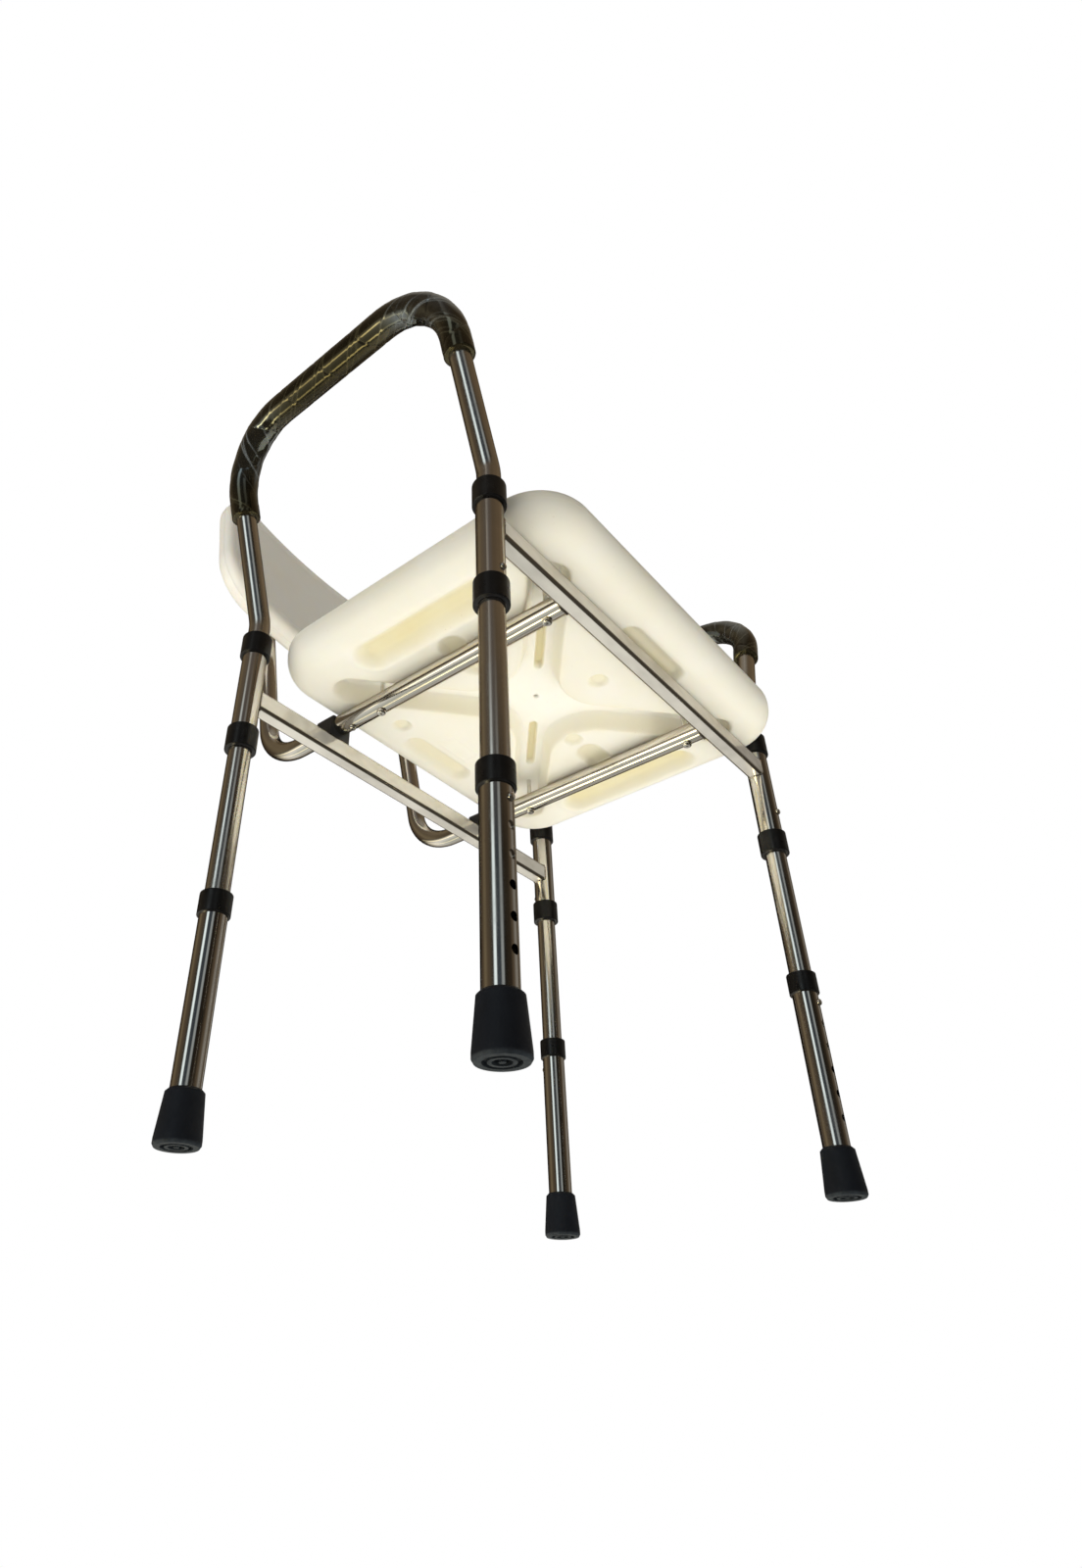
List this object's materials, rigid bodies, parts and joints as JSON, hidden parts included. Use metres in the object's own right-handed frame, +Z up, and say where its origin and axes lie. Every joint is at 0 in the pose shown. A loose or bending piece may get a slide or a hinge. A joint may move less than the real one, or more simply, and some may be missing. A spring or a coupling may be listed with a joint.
{
  "type": "shower chair",
  "caption": "Height-adjustable shower chair with a moulded seat, a curved backrest, padded splayed armrests and rubber-tipped tube legs.",
  "frame": {"origin": "on the floor, under the middle of the chair's overall box", "axes": "+Z up; the sitter faces -Y, so +X is the sitter's left"},
  "size_m": [0.763, 0.6404, 0.9744],
  "materials": {
    "chrome_tube": "polished",
    "seat_plastic": "satin blow-moulded",
    "back_plastic": "satin blow-moulded",
    "black_plastic": "satin",
    "snap_button": "polished",
    "tip_rubber": "matte",
    "grip_cover": "glossy skin under clear film",
    "bright_screws": "polished",
    "spring_steel": "satin",
    "washer_steel": "satin",
    "brass_insert": "machined"
  },
  "bodies": {
    "seat_frame": {"front_crossbar": "chrome_tube", "rear_crossbar": "chrome_tube", "seat": "seat_plastic", "seat_screws": "bright_screws", "seat_inserts": "brass_insert", "back_lock_screws": "bright_screws", "front_right_sleeve": "chrome_tube", "front_right_top_collar": "black_plastic", "front_right_bottom_collar": "black_plastic", "rear_right_sleeve": "chrome_tube", "rear_right_top_collar": "black_plastic", "rear_right_bottom_collar": "black_plastic", "rear_left_sleeve": "chrome_tube", "rear_left_top_collar": "black_plastic", "rear_left_bottom_collar": "black_plastic", "front_left_sleeve": "chrome_tube", "front_left_top_collar": "black_plastic", "front_left_bottom_collar": "black_plastic", "right_rail": "chrome_tube", "right_rail_saddle": "black_plastic", "left_rail": "chrome_tube", "left_rail_saddle": "black_plastic"},
    "backrest": {"back_panel": "back_plastic", "back_screws": "bright_screws", "back_tube_plugs": "black_plastic", "right_back_tube": "chrome_tube", "left_back_tube": "chrome_tube"},
    "right_armrest": {"right_armrest_tube": "chrome_tube", "right_grip": "grip_cover", "right_snap_springs": "spring_steel"},
    "left_armrest": {"left_armrest_tube": "chrome_tube", "left_grip": "grip_cover", "left_snap_springs": "spring_steel"},
    "front_right_leg": {"front_right_leg_tube": "chrome_tube", "front_right_leg_collar": "black_plastic", "front_right_rubber_tip": "tip_rubber", "front_right_tip_washer": "washer_steel"},
    "front_right_upper_snap": {"front_right_upper_button": "snap_button"},
    "front_right_lower_snap": {"front_right_lower_button": "snap_button"},
    "rear_right_leg": {"rear_right_leg_tube": "chrome_tube", "rear_right_leg_collar": "black_plastic", "rear_right_rubber_tip": "tip_rubber", "rear_right_tip_washer": "washer_steel"},
    "rear_right_upper_snap": {"rear_right_upper_button": "snap_button"},
    "rear_right_lower_snap": {"rear_right_lower_button": "snap_button"},
    "rear_left_leg": {"rear_left_leg_tube": "chrome_tube", "rear_left_leg_collar": "black_plastic", "rear_left_rubber_tip": "tip_rubber", "rear_left_tip_washer": "washer_steel"},
    "rear_left_upper_snap": {"rear_left_upper_button": "snap_button"},
    "rear_left_lower_snap": {"rear_left_lower_button": "snap_button"},
    "front_left_leg": {"front_left_leg_tube": "chrome_tube", "front_left_leg_collar": "black_plastic", "front_left_rubber_tip": "tip_rubber", "front_left_tip_washer": "washer_steel"},
    "front_left_upper_snap": {"front_left_upper_button": "snap_button"},
    "front_left_lower_snap": {"front_left_lower_button": "snap_button"}
  },
  "joints": [
    {"name": "backrest_slide", "type": "slide", "parent": "seat_frame", "child": "backrest", "axis": [0, 1, 0], "range_m": [0, 0.075]},
    {"name": "right_armrest_lift", "type": "slide", "parent": "seat_frame", "child": "right_armrest", "axis": [0, 0, 1], "range_m": [0, 0.03], "deforming": ["front_right_upper_button", "rear_right_upper_button"]},
    {"name": "left_armrest_lift", "type": "slide", "parent": "seat_frame", "child": "left_armrest", "axis": [0, 0, 1], "range_m": [0, 0.03], "deforming": ["rear_left_upper_button", "front_left_upper_button"]},
    {"name": "front_right_leg_slide", "type": "slide", "parent": "right_armrest", "child": "front_right_leg", "axis": [0, 0, 1], "range_m": [0, 0.127], "deforming": ["front_right_lower_button"]},
    {"name": "front_right_upper_button_press", "type": "slide", "parent": "right_armrest", "child": "front_right_upper_snap", "axis": [0, 1, 0], "range_m": [0, 0.0048], "stiffness_N_per_m": 800, "springref_m": -0.002, "deforming": ["right_snap_springs"]},
    {"name": "front_right_lower_button_press", "type": "slide", "parent": "right_armrest", "child": "front_right_lower_snap", "axis": [0, 1, 0], "range_m": [0, 0.0048], "stiffness_N_per_m": 800, "springref_m": -0.002},
    {"name": "rear_right_leg_slide", "type": "slide", "parent": "right_armrest", "child": "rear_right_leg", "axis": [0, 0, 1], "range_m": [0, 0.127], "deforming": ["rear_right_lower_button"]},
    {"name": "rear_right_upper_button_press", "type": "slide", "parent": "right_armrest", "child": "rear_right_upper_snap", "axis": [0, -1, 0], "range_m": [0, 0.0048], "stiffness_N_per_m": 800, "springref_m": -0.002},
    {"name": "rear_right_lower_button_press", "type": "slide", "parent": "right_armrest", "child": "rear_right_lower_snap", "axis": [0, -1, 0], "range_m": [0, 0.0048], "stiffness_N_per_m": 800, "springref_m": -0.002},
    {"name": "rear_left_leg_slide", "type": "slide", "parent": "left_armrest", "child": "rear_left_leg", "axis": [0, 0, 1], "range_m": [0, 0.127], "deforming": ["rear_left_lower_button"]},
    {"name": "rear_left_upper_button_press", "type": "slide", "parent": "left_armrest", "child": "rear_left_upper_snap", "axis": [0, -1, 0], "range_m": [0, 0.0048], "stiffness_N_per_m": 800, "springref_m": -0.002},
    {"name": "rear_left_lower_button_press", "type": "slide", "parent": "left_armrest", "child": "rear_left_lower_snap", "axis": [0, -1, 0], "range_m": [0, 0.0048], "stiffness_N_per_m": 800, "springref_m": -0.002},
    {"name": "front_left_leg_slide", "type": "slide", "parent": "left_armrest", "child": "front_left_leg", "axis": [0, 0, 1], "range_m": [0, 0.127], "deforming": ["front_left_lower_button"]},
    {"name": "front_left_upper_button_press", "type": "slide", "parent": "left_armrest", "child": "front_left_upper_snap", "axis": [0, 1, 0], "range_m": [0, 0.0048], "stiffness_N_per_m": 800, "springref_m": -0.002, "deforming": ["left_snap_springs"]},
    {"name": "front_left_lower_button_press", "type": "slide", "parent": "left_armrest", "child": "front_left_lower_snap", "axis": [0, 1, 0], "range_m": [0, 0.0048], "stiffness_N_per_m": 800, "springref_m": -0.002}
  ]
}
